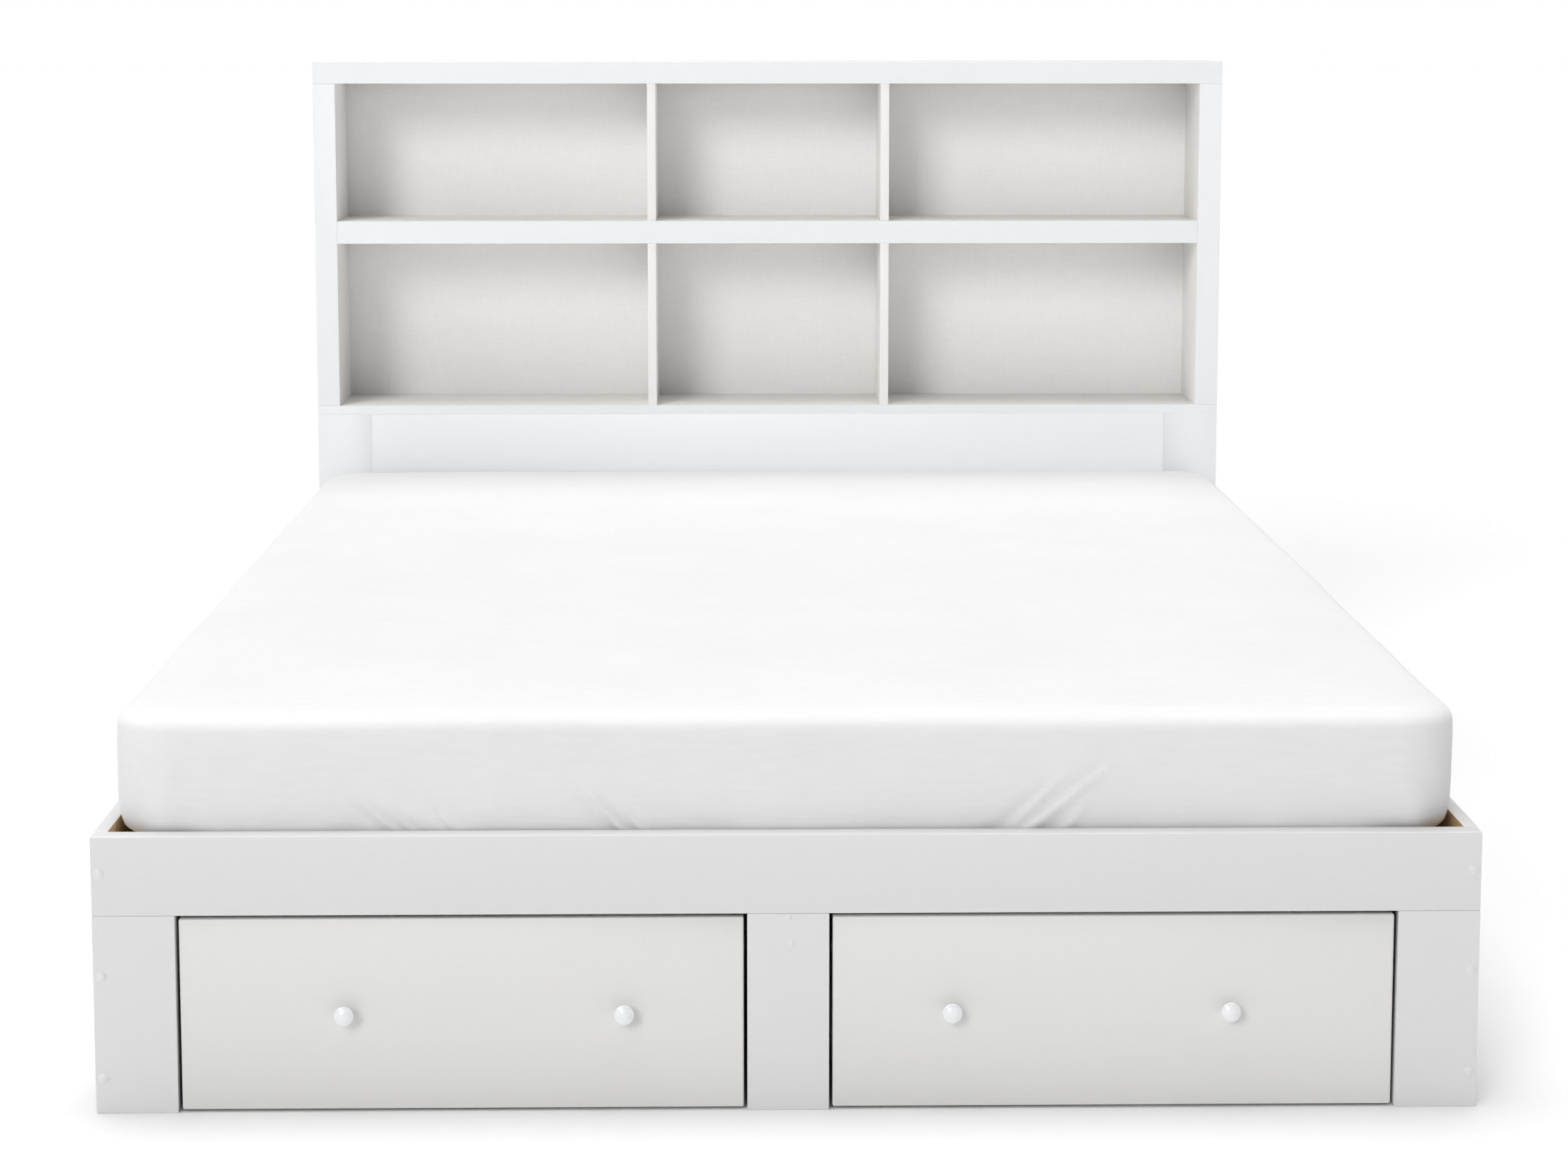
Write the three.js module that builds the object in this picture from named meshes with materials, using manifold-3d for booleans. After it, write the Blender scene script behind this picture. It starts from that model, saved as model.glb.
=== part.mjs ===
// Platform bed with a bookcase headboard and two roll-out drawers under its foot.
// Millimetres, +Z up, +Y toward the headboard, +X to the right seen from the foot.
// The origin is on the floor, at the centre of the whole bed.

import * as THREE from 'three';
import { mergeVertices } from 'three/addons/utils/BufferGeometryUtils.js';
import Module from 'manifold-3d';

const wasm = await Module();
wasm.setup();

// Overall sizes
const WIDTH = 1590;
const HALF_WIDTH = WIDTH / 2;
const FACE_TO_FACE = 2072; // footboard front to headboard front

// Footboard, side panels and the supports inside
const FOOT_HEIGHT = 325;
const FOOT_THICKNESS = 26;
const RAIL_HEIGHT = 92.5;
const LEG_WIDTH = 94;
const LEG_HEIGHT = FOOT_HEIGHT - RAIL_HEIGHT;
const SIDE_THICKNESS = 16;
const INNER_HALF_WIDTH = HALF_WIDTH - SIDE_THICKNESS;
const BEAM_WIDTH = 36;
const BEAM_HEIGHT = 100;
const BEAM_FOOT_WIDTH = 44;
const BEAM_FOOT_SHARES = { front: 0.375, rear: 0.75 }; // of the way from the footboard to the headboard
const LEDGER_WIDTH = 20;
const LEDGER_HEIGHT = 40;

// Slats and mattress
const SLAT_BED_HEIGHT = 279.5; // top of the ledgers and of the centre beam
const SLAT_THICKNESS = 18;
const SLAT_WIDTH = 68;
const SLAT_LENGTH = 1552;
const SLATS_PER_ROLL = 7;
const SLAT_END_GAP = 10;
const WEBBING_WIDTH = 30;
const WEBBING_PROUD = 1;
const WEBBING_X = 480;
const MATTRESS_WIDTH = 1540;
const MATTRESS_LENGTH = 2032;
const MATTRESS_TOP = 463;
const MATTRESS_CORNER = 60;
const MATTRESS_EDGE = 24;
const MATTRESS_FOOT_GAP = 8;
const SOFT_CLEARANCE = 0.5;

// Headboard
const HEAD_BOARD_THICKNESS = 39;
const TOP_THICKNESS = 38;
const THIN_BOARD = 15;
const STILE_HEIGHT = 560;
const STILE_WIDTH = 94;
const STILE_THICKNESS = 26;
const LOWER_PANEL_BOTTOM = 120;
const LOWER_PANEL_THICKNESS = 16;
const LOWER_COMPARTMENT = 286.5;
const UPPER_COMPARTMENT = 240.5;
const CENTRE_COMPARTMENT_WIDTH = 394;
const DIVIDER_RECESS = 2;
const BOOKCASE_DEPTH = 176;
const BACK_THICKNESS = 6;
const BACK_INSET = 10;

// Drawers
const DRAWER_GAP = 4;
const FRONT_RECESS = 3;
const FRONT_THICKNESS = 16;
const FRONT_BOTTOM = 3;
const FRONT_HEIGHT = 225;
const BOX_WIDTH = 597;
const BOX_DEPTH = 780;
const BOX_BOTTOM = 46;
const BOX_TOP = 220;
const BOX_SIDE_THICKNESS = 13;
const BOX_FLOOR_THICKNESS = 9;
const KNOB_SPACING = 320;
const KNOB_HEIGHT = 118;
const KNOB_SHIFT = 26; // from the middle of the front toward the middle of the bed
const KNOB_PROUD = 22;
const KNOB_SEGMENTS = 28;
// From the knob's foot to its face: radius, distance from the drawer front
const KNOB_PROFILE = [
  [0, 0],
  [6, 0],
  [6, 1.5],
  [5, 3.5],
  [5, 8],
  [9.5, 12.5],
  [11.5, 15.5],
  [11.5, 18],
  [10.5, 20],
  [7, 21.5],
  [0, KNOB_PROUD],
];

// Casters
const WHEEL_RADIUS = 20;
const WHEEL_WIDTH = 16;
const WHEEL_LIFT = 0.5;
const WHEEL_BORE_RADIUS = 3.3;
const TREAD_ROUND = 3;
const HUB_RADIUS = 9;
const HUB_SINK = 2;
const WHEEL_EDGE = 1; // width of the sloped edges of the hub and the tread
const PIN_RADIUS = 3;
const PIN_OVERHANG = 1.5;
const BRACKET_PLATE = 2;
const BRACKET_LENGTH = 56;
const BRACKET_WIDTH = 44;
const CHEEK_GAP = 18;
const CHEEK_FOOT_RADIUS = 8;
const CHEEK_TOP_HALF = 20;
const CHEEK_OVERLAP = 1; // how far the cheeks run into the plate
const CASTER_FROM_SIDE = 40;
const CASTER_FROM_END = 75;
const WHEEL_SEGMENTS = 32;

// Places along the bed
const LENGTH = KNOB_PROUD - FRONT_RECESS + FACE_TO_FACE + BOOKCASE_DEPTH + BACK_THICKNESS;
const FOOT_Y = -LENGTH / 2 + KNOB_PROUD - FRONT_RECESS;
const HEAD_Y = FOOT_Y + FACE_TO_FACE;
const WELL_Y = FOOT_Y + FOOT_THICKNESS;
const SLAT_TOP = SLAT_BED_HEIGHT + SLAT_THICKNESS;

const board = (color) => new THREE.MeshStandardMaterial({ color, roughness: 0.45, metalness: 0 });
const whiteBoard = board(0xdfe1e0);
const warmBoard = board(0xe3e2df);
const pine = new THREE.MeshStandardMaterial({ color: 0xc9a26b, roughness: 0.7, metalness: 0 });
const cloth = new THREE.MeshStandardMaterial({ color: 0xf2f2f4, roughness: 0.95, metalness: 0 });
const gloss = new THREE.MeshStandardMaterial({ color: 0xf4f4f2, roughness: 0.15, metalness: 0 });
const steel = new THREE.MeshStandardMaterial({ color: 0xa8abad, roughness: 0.4, metalness: 1 });
const tyre = new THREE.MeshStandardMaterial({ color: 0x55585a, roughness: 0.7, metalness: 0 });

const bed = new THREE.Group();

function addPiece(name, geometry, material) {
  const mesh = new THREE.Mesh(geometry, material);
  mesh.name = name;
  bed.add(mesh);
  return mesh;
}

function boxBetween(low, high) {
  const size = high.map((value, axis) => value - low[axis]);
  const middle = high.map((value, axis) => (value + low[axis]) / 2);
  return new THREE.BoxGeometry(...size).translate(...middle);
}

function addBoard(name, low, high, material = whiteBoard) {
  return addPiece(name, boxBetween(low, high), material);
}

// The same board on the left (side -1) or the right (side 1), given by its distances from the middle.
function addSideBoard(name, side, nearX, farX, y, z, material = whiteBoard) {
  const x = [nearX * side, farX * side].sort((a, b) => a - b);
  return addBoard(name, [x[0], y[0], z[0]], [x[1], y[1], z[1]], material);
}

function toSolid(geometry) {
  const bare = geometry.clone();
  bare.deleteAttribute('normal');
  bare.deleteAttribute('uv');
  const merged = mergeVertices(bare);
  const vertProperties = new Float32Array(merged.attributes.position.array);
  const triVerts = new Uint32Array(merged.index.array);
  return new wasm.Manifold(new wasm.Mesh({ numProp: 3, vertProperties, triVerts }));
}

function joined(geometries) {
  const solids = geometries.map(toSolid);
  const whole = solids.slice(1).reduce((sum, next) => sum.add(next), solids[0]);
  const mesh = whole.getMesh();
  const geometry = new THREE.BufferGeometry();
  geometry.setAttribute('position', new THREE.BufferAttribute(mesh.vertProperties, 3));
  geometry.setIndex(new THREE.BufferAttribute(mesh.triVerts, 1));
  geometry.computeVertexNormals();
  return geometry;
}

function addFootboard() {
  const y = [FOOT_Y, WELL_Y];
  addBoard('footboard_rail', [-HALF_WIDTH, y[0], LEG_HEIGHT], [HALF_WIDTH, y[1], FOOT_HEIGHT]);
  const legs = { left: -HALF_WIDTH, center: -LEG_WIDTH / 2, right: HALF_WIDTH - LEG_WIDTH };
  for (const [place, x] of Object.entries(legs)) {
    addBoard(`footboard_leg_${place}`, [x, y[0], 0], [x + LEG_WIDTH, y[1], LEG_HEIGHT]);
  }
}

function addSidesAndSupports() {
  const y = [WELL_Y, HEAD_Y];
  const ledgerZ = [SLAT_BED_HEIGHT - LEDGER_HEIGHT, SLAT_BED_HEIGHT];
  for (const [place, side] of [['left', -1], ['right', 1]]) {
    addSideBoard(`side_panel_${place}`, side, INNER_HALF_WIDTH, HALF_WIDTH, y, [0, FOOT_HEIGHT]);
    const near = INNER_HALF_WIDTH - LEDGER_WIDTH;
    addSideBoard(`ledger_${place}`, side, near, INNER_HALF_WIDTH, y, ledgerZ, pine);
  }
  const beamBottom = SLAT_BED_HEIGHT - BEAM_HEIGHT;
  const halfBeam = BEAM_WIDTH / 2;
  addBoard('center_beam', [-halfBeam, y[0], beamBottom], [halfBeam, y[1], SLAT_BED_HEIGHT], pine);
  const halfFoot = BEAM_FOOT_WIDTH / 2;
  for (const [place, share] of Object.entries(BEAM_FOOT_SHARES)) {
    const middle = FOOT_Y + FACE_TO_FACE * share;
    const low = [-halfFoot, middle - halfFoot, 0];
    addBoard(`beam_foot_${place}`, low, [halfFoot, middle + halfFoot, beamBottom], pine);
  }
}

// Each roll is a set of pine slats stapled to two webbing straps, which hold them at equal gaps.
function addSlatRolls() {
  const count = SLATS_PER_ROLL * 2;
  const firstY = WELL_Y + SLAT_END_GAP;
  const pitch = (HEAD_Y - SLAT_END_GAP - SLAT_WIDTH - firstY) / (count - 1);
  const slatAt = (index) => {
    const y = firstY + pitch * index;
    const low = [-SLAT_LENGTH / 2, y, SLAT_BED_HEIGHT];
    return boxBetween(low, [SLAT_LENGTH / 2, y + SLAT_WIDTH, SLAT_TOP]);
  };
  ['foot', 'head'].forEach((place, roll) => {
    const first = roll * SLATS_PER_ROLL;
    const slats = Array.from({ length: SLATS_PER_ROLL }, (_, step) => slatAt(first + step));
    const startY = firstY + pitch * first;
    const endY = startY + pitch * (SLATS_PER_ROLL - 1) + SLAT_WIDTH;
    const straps = [-WEBBING_X, WEBBING_X].map((x) => {
      const low = [x - WEBBING_WIDTH / 2, startY, SLAT_TOP - WEBBING_PROUD];
      return boxBetween(low, [x + WEBBING_WIDTH / 2, endY, SLAT_TOP + WEBBING_PROUD]);
    });
    addPiece(`slat_roll_${place}`, joined([...slats, ...straps]), pine);
  });
}

function roundedRectangle(halfWidth, halfLength, radius) {
  const shape = new THREE.Shape();
  shape.absarc(halfWidth - radius, halfLength - radius, radius, 0, Math.PI / 2);
  shape.absarc(radius - halfWidth, halfLength - radius, radius, Math.PI / 2, Math.PI);
  shape.absarc(radius - halfWidth, radius - halfLength, radius, Math.PI, Math.PI * 1.5);
  shape.absarc(halfWidth - radius, radius - halfLength, radius, Math.PI * 1.5, Math.PI * 2);
  return shape;
}

function addMattress() {
  const bottom = SLAT_TOP + WEBBING_PROUD + SOFT_CLEARANCE;
  const halfWidth = MATTRESS_WIDTH / 2 - MATTRESS_EDGE;
  const halfLength = MATTRESS_LENGTH / 2 - MATTRESS_EDGE;
  const outline = roundedRectangle(halfWidth, halfLength, MATTRESS_CORNER - MATTRESS_EDGE);
  const geometry = new THREE.ExtrudeGeometry(outline, {
    depth: MATTRESS_TOP - bottom - MATTRESS_EDGE * 2,
    bevelSize: MATTRESS_EDGE,
    bevelThickness: MATTRESS_EDGE,
    bevelSegments: 3,
    curveSegments: 5,
  });
  const mattress = addPiece('mattress', geometry, cloth);
  const middleY = WELL_Y + MATTRESS_FOOT_GAP + MATTRESS_LENGTH / 2;
  mattress.position.set(0, middleY, bottom + MATTRESS_EDGE);
}

function addHeadboardLegs() {
  const stileInner = HALF_WIDTH - STILE_WIDTH;
  const stileY = [HEAD_Y, HEAD_Y + STILE_THICKNESS];
  const endY = [HEAD_Y + STILE_THICKNESS, HEAD_Y + BOOKCASE_DEPTH];
  const z = [0, STILE_HEIGHT];
  for (const [place, side] of [['left', -1], ['right', 1]]) {
    addSideBoard(`headboard_stile_${place}`, side, stileInner, HALF_WIDTH, stileY, z);
    addSideBoard(`headboard_end_${place}`, side, INNER_HALF_WIDTH, HALF_WIDTH, endY, z);
  }
  const panelBack = HEAD_Y + LOWER_PANEL_THICKNESS;
  const low = [-stileInner, HEAD_Y, LOWER_PANEL_BOTTOM];
  addBoard('headboard_lower_panel', low, [stileInner, panelBack, STILE_HEIGHT]);
}

function addBookcase() {
  const y = [HEAD_Y, HEAD_Y + BOOKCASE_DEPTH];
  const floorTop = STILE_HEIGHT + THIN_BOARD;
  const shelfBottom = floorTop + LOWER_COMPARTMENT;
  const shelfTop = shelfBottom + HEAD_BOARD_THICKNESS;
  const topBottom = shelfTop + UPPER_COMPARTMENT;
  const top = topBottom + TOP_THICKNESS;
  const innerX = HALF_WIDTH - HEAD_BOARD_THICKNESS;

  addBoard('bookcase_bottom', [-HALF_WIDTH, y[0], STILE_HEIGHT], [HALF_WIDTH, y[1], floorTop]);
  addBoard('bookcase_top', [-HALF_WIDTH, y[0], topBottom], [HALF_WIDTH, y[1], top]);
  addBoard('bookcase_shelf', [-innerX, y[0], shelfBottom], [innerX, y[1], shelfTop]);
  const backX = HALF_WIDTH - BACK_INSET;
  const backLow = [-backX, y[1], STILE_HEIGHT + BACK_INSET];
  addBoard('bookcase_back', backLow, [backX, y[1] + BACK_THICKNESS, top - BACK_INSET]);

  const dividerX = CENTRE_COMPARTMENT_WIDTH / 2;
  const dividerY = [y[0] + DIVIDER_RECESS, y[1]];
  const rows = { lower: [floorTop, shelfBottom], upper: [shelfTop, topBottom] };
  for (const [place, side] of [['left', -1], ['right', 1]]) {
    addSideBoard(`bookcase_side_${place}`, side, innerX, HALF_WIDTH, y, [floorTop, topBottom]);
    for (const [row, z] of Object.entries(rows)) {
      const name = `bookcase_divider_${row}_${place}`;
      addSideBoard(name, side, dividerX, dividerX + THIN_BOARD, dividerY, z);
    }
  }
}

// A turned knob on its stem, with its axis along -Y and its base at the origin.
function knobGeometry() {
  const points = KNOB_PROFILE.map(([radius, along]) => new THREE.Vector2(radius, along));
  return new THREE.LatheGeometry(points, KNOB_SEGMENTS).rotateX(Math.PI);
}

// A wheel with rounded tread and sunk hub faces, its axle hole along X.
function wheelGeometry() {
  const half = WHEEL_WIDTH / 2;
  const tread = WHEEL_RADIUS - TREAD_ROUND;
  const corner = TREAD_ROUND * Math.SQRT1_2;
  const oneSide = [
    [WHEEL_BORE_RADIUS, half],
    [HUB_RADIUS, half],
    [HUB_RADIUS + WHEEL_EDGE, half - HUB_SINK],
    [tread - WHEEL_EDGE, half - HUB_SINK],
    [tread, half - WHEEL_EDGE],
    [tread + corner, half - WHEEL_EDGE - TREAD_ROUND + corner],
    [WHEEL_RADIUS, half - WHEEL_EDGE - TREAD_ROUND],
  ];
  const lower = oneSide.map(([radius, along]) => [radius, -along]);
  const loop = [...lower, ...oneSide.toReversed(), lower[0]];
  const points = loop.map(([radius, along]) => new THREE.Vector2(radius, along));
  return new THREE.LatheGeometry(points, WHEEL_SEGMENTS).rotateZ(-Math.PI / 2);
}

// A pressed steel fork: a plate under the drawer floor, two cheeks and the axle pin.
// The origin is the middle of the axle.
function bracketGeometry() {
  const plateTop = BOX_BOTTOM - WHEEL_RADIUS - WHEEL_LIFT;
  const plateBottom = plateTop - BRACKET_PLATE;
  const cheek = new THREE.Shape();
  cheek.moveTo(CHEEK_TOP_HALF, plateBottom + CHEEK_OVERLAP);
  cheek.lineTo(-CHEEK_TOP_HALF, plateBottom + CHEEK_OVERLAP);
  cheek.absarc(0, 0, CHEEK_FOOT_RADIUS, Math.PI, Math.PI * 2);
  cheek.closePath();
  const cheekAt = (x) => {
    const slab = new THREE.ExtrudeGeometry(cheek, {
      depth: BRACKET_PLATE,
      bevelEnabled: false,
      curveSegments: 10,
    });
    return slab.rotateX(Math.PI / 2).rotateZ(Math.PI / 2).translate(x, 0, 0);
  };
  const halfGap = CHEEK_GAP / 2;
  const plate = boxBetween(
    [-BRACKET_WIDTH / 2, -BRACKET_LENGTH / 2, plateBottom],
    [BRACKET_WIDTH / 2, BRACKET_LENGTH / 2, plateTop],
  );
  const pinLength = CHEEK_GAP + (BRACKET_PLATE + PIN_OVERHANG) * 2;
  const pin = new THREE.CylinderGeometry(PIN_RADIUS, PIN_RADIUS, pinLength, 20);
  const cheeks = [cheekAt(-halfGap - BRACKET_PLATE), cheekAt(halfGap)];
  return joined([plate, ...cheeks, pin.rotateZ(Math.PI / 2)]);
}

function addCasters(drawer, side, nearX, farX, boxY) {
  const wheel = wheelGeometry();
  const bracket = bracketGeometry();
  const columns = { inner: nearX + CASTER_FROM_SIDE, outer: farX - CASTER_FROM_SIDE };
  const rows = { front: boxY[0] + CASTER_FROM_END, rear: boxY[1] - CASTER_FROM_END };
  for (const [row, y] of Object.entries(rows)) {
    for (const [column, x] of Object.entries(columns)) {
      const place = [x * side, y, WHEEL_RADIUS + WHEEL_LIFT];
      const parts = { caster_bracket: [bracket, steel], wheel: [wheel, tyre] };
      for (const [kind, [geometry, material]] of Object.entries(parts)) {
        addPiece(`${drawer}_${kind}_${row}_${column}`, geometry, material).position.set(...place);
      }
    }
  }
}

function addDrawer(place, side) {
  const drawer = `drawer_${place}`;
  const nearX = LEG_WIDTH / 2 + DRAWER_GAP;
  const frontFarX = HALF_WIDTH - LEG_WIDTH - DRAWER_GAP;
  const frontY = [FOOT_Y + FRONT_RECESS, FOOT_Y + FRONT_RECESS + FRONT_THICKNESS];
  const frontZ = [FRONT_BOTTOM, FRONT_BOTTOM + FRONT_HEIGHT];
  addSideBoard(`${drawer}_front`, side, nearX, frontFarX, frontY, frontZ, warmBoard);

  const farX = nearX + BOX_WIDTH;
  const boxY = [frontY[1], frontY[1] + BOX_DEPTH];
  const boxZ = [BOX_BOTTOM, BOX_TOP];
  const nearInside = nearX + BOX_SIDE_THICKNESS;
  const farInside = farX - BOX_SIDE_THICKNESS;
  const backY = [boxY[1] - BOX_SIDE_THICKNESS, boxY[1]];
  const floorZ = [BOX_BOTTOM, BOX_BOTTOM + BOX_FLOOR_THICKNESS];
  addSideBoard(`${drawer}_side_inner`, side, nearX, nearInside, boxY, boxZ, warmBoard);
  addSideBoard(`${drawer}_side_outer`, side, farInside, farX, boxY, boxZ, warmBoard);
  addSideBoard(`${drawer}_back`, side, nearInside, farInside, backY, boxZ, warmBoard);
  const floorY = [boxY[0], backY[0]];
  addSideBoard(`${drawer}_floor`, side, nearInside, farInside, floorY, floorZ, warmBoard);

  const middle = (nearX + frontFarX) / 2 - KNOB_SHIFT;
  const knob = knobGeometry();
  for (const [name, offset] of [['inner', -KNOB_SPACING / 2], ['outer', KNOB_SPACING / 2]]) {
    const mesh = addPiece(`${drawer}_knob_${name}`, knob, gloss);
    mesh.position.set((middle + offset) * side, frontY[0], KNOB_HEIGHT);
  }
  addCasters(drawer, side, nearX, farX, boxY);
}

addFootboard();
addSidesAndSupports();
addSlatRolls();
addMattress();
addHeadboardLegs();
addBookcase();
addDrawer('left', -1);
addDrawer('right', 1);

export default bed;
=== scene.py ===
"""Looks of the platform bed: materials, bedding, slats, knobs, casters and small fittings.

Metres, in the frame of the CAD model: +Y toward the headboard, +X to the right seen from the
foot, +Z up.
"""

import math

import bmesh
import bpy
import numpy as np
from mathutils import Matrix, Vector


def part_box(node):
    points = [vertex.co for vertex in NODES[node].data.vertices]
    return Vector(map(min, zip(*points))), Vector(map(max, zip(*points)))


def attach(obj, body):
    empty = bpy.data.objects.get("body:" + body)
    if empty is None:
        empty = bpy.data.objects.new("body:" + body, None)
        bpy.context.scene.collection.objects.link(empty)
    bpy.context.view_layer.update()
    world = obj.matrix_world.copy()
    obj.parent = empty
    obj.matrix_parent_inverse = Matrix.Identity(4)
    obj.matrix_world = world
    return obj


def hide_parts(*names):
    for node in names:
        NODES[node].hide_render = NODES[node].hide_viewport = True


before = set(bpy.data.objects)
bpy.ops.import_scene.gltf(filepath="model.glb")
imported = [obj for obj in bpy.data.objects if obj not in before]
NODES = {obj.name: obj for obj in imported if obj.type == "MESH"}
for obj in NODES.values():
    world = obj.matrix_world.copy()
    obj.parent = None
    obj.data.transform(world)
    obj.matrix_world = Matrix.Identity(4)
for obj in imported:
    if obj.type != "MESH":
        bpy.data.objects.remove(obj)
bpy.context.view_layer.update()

MM = 0.001


# --- Camera, floor and lights ---------------------------------------------------------------

CAMERA_BACK = 3.604  # from the footboard's face
CAMERA_X = -0.0615
CAMERA_HEIGHT = 1.2416
CAMERA_PITCH = math.radians(6.88)
CAMERA_YAW = math.radians(0.9)
CAMERA_LENS = 74.21
CAMERA_SHIFT_Y = -0.11

FLOOR_REACH = 90
FLOOR_TONES = (0.79, 0.81)
HORIZON_BAND = (0.03, 0.14)  # heights on the sky's unit sphere between which it dims
HORIZON_LIGHT = 1.0
DOME_LIGHT = 0.26
KEY_PLACE = (-1.14, -2.97, 1.73)
KEY_TARGET = (0, 0.3, 0.55)
KEY_SIZE = 0.6
KEY_WATTS = 5
# Each sun: direction of its light, strength, and spread in degrees
SUNS = {
    "front": ((0.42, 0.85, -0.42), 1.02, 22),
    "overhead": ((0.05, -0.12, -0.99), 2.8, 50),
}


def make_camera():
    foot_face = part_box("footboard_rail")[0].y
    data = bpy.data.cameras.new("camera")
    data.sensor_width = 36
    data.lens = CAMERA_LENS
    data.shift_y = CAMERA_SHIFT_Y
    camera = bpy.data.objects.new("camera", data)
    camera.location = (CAMERA_X, foot_face - CAMERA_BACK, CAMERA_HEIGHT)
    camera.rotation_euler = (math.pi / 2 - CAMERA_PITCH, 0, -CAMERA_YAW)
    bpy.context.scene.collection.objects.link(camera)
    bpy.context.scene.camera = camera


def add_light(name, kind, strength, direction):
    """A light shining along that direction; gives its data block and its object."""
    data = bpy.data.lights.new(name, kind)
    data.energy = strength
    light = bpy.data.objects.new(name, data)
    light.rotation_euler = Vector(direction).to_track_quat("-Z", "Y").to_euler()
    bpy.context.scene.collection.objects.link(light)
    return data, light


def make_lights():
    """A soft key and a front sun from the upper left of the foot, and a wide overhead sun."""
    key, key_object = add_light("key", "AREA", KEY_WATTS, Vector(KEY_TARGET) - Vector(KEY_PLACE))
    key.size = KEY_SIZE
    key_object.location = KEY_PLACE
    for name, (direction, strength, spread) in SUNS.items():
        sun, _ = add_light(name, "SUN", strength, direction)
        sun.angle = math.radians(spread)


def make_surroundings():
    """White surroundings, brightest at the horizon."""
    world = bpy.data.worlds.new("studio")
    bpy.context.scene.world = world
    world.use_nodes = True
    nodes, links = world.node_tree.nodes, world.node_tree.links
    split = nodes.new("ShaderNodeSeparateXYZ")
    links.new(nodes.new("ShaderNodeTexCoord").outputs["Generated"], split.inputs["Vector"])
    level = nodes.new("ShaderNodeMapRange")
    level.interpolation_type = "SMOOTHSTEP"
    links.new(split.outputs["Z"], level.inputs["Value"])
    level.inputs["From Min"].default_value = HORIZON_BAND[0]
    level.inputs["From Max"].default_value = HORIZON_BAND[1]
    level.inputs["To Min"].default_value = HORIZON_LIGHT
    level.inputs["To Max"].default_value = DOME_LIGHT
    links.new(level.outputs["Result"], nodes["Background"].inputs["Strength"])
    nodes["Background"].inputs["Color"].default_value = (1, 1, 1, 1)
    bpy.context.scene.view_settings.view_transform = "Standard"


def make_floor():
    mesh = bpy.data.meshes.new("floor")
    corners = [(-FLOOR_REACH, -FLOOR_REACH, 0), (FLOOR_REACH, -FLOOR_REACH, 0)]
    corners += [(FLOOR_REACH, FLOOR_REACH, 0), (-FLOOR_REACH, FLOOR_REACH, 0)]
    mesh.from_pydata(corners, [], [(0, 1, 2, 3)])
    floor = bpy.data.objects.new("floor", mesh)
    bpy.context.scene.collection.objects.link(floor)
    shader = Shader("studio_floor", (0.8, 0.8, 0.8), 0.9, Specular_IOR_Level=0.0)
    dark, light = ((tone, tone, tone) for tone in FLOOR_TONES)
    shader.color_between(shader.noise(scale=0.6, detail=3), dark, light)
    mesh.materials.append(shader.material)


# --- Materials ------------------------------------------------------------------------------


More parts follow.
